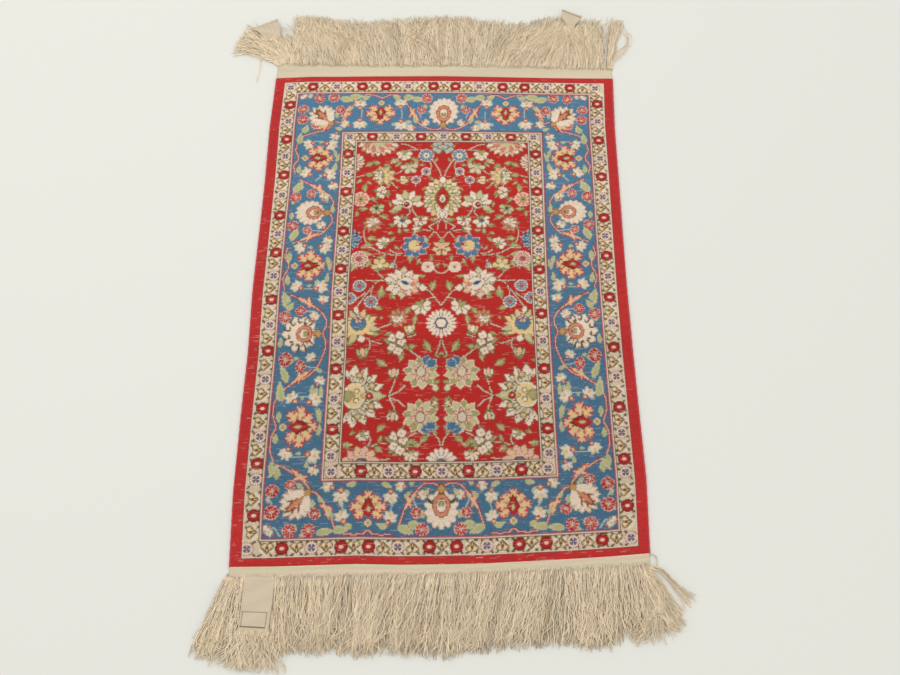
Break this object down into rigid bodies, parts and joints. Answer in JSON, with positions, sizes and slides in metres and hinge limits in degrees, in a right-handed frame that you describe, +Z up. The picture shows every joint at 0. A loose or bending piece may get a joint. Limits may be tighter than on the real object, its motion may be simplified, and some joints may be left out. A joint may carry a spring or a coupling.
{
  "type": "silk rug",
  "caption": "Small flat silk rug, back upwards, with a flowered field, borders and a tangled thread fringe at both ends; lies on a floor, table or wall panel.",
  "frame": {"origin": "on the floor, under the middle of the knotted panel", "axes": "+Y along the rug towards its far fringe, +X across the rug, +Z up, away from the floor"},
  "size_m": [0.6144, 0.9783, 0.003],
  "materials": {
    "knotted_silk": "back of fine silk knots, red, blue and ivory pattern, low sheen",
    "bare_thread": "undyed plied thread, matt, loosely tangled"
  },
  "bodies": {
    "root": {"knotted_panel": "knotted_silk", "fringe_far": "bare_thread", "fringe_near": "bare_thread"}
  },
  "joints": []
}
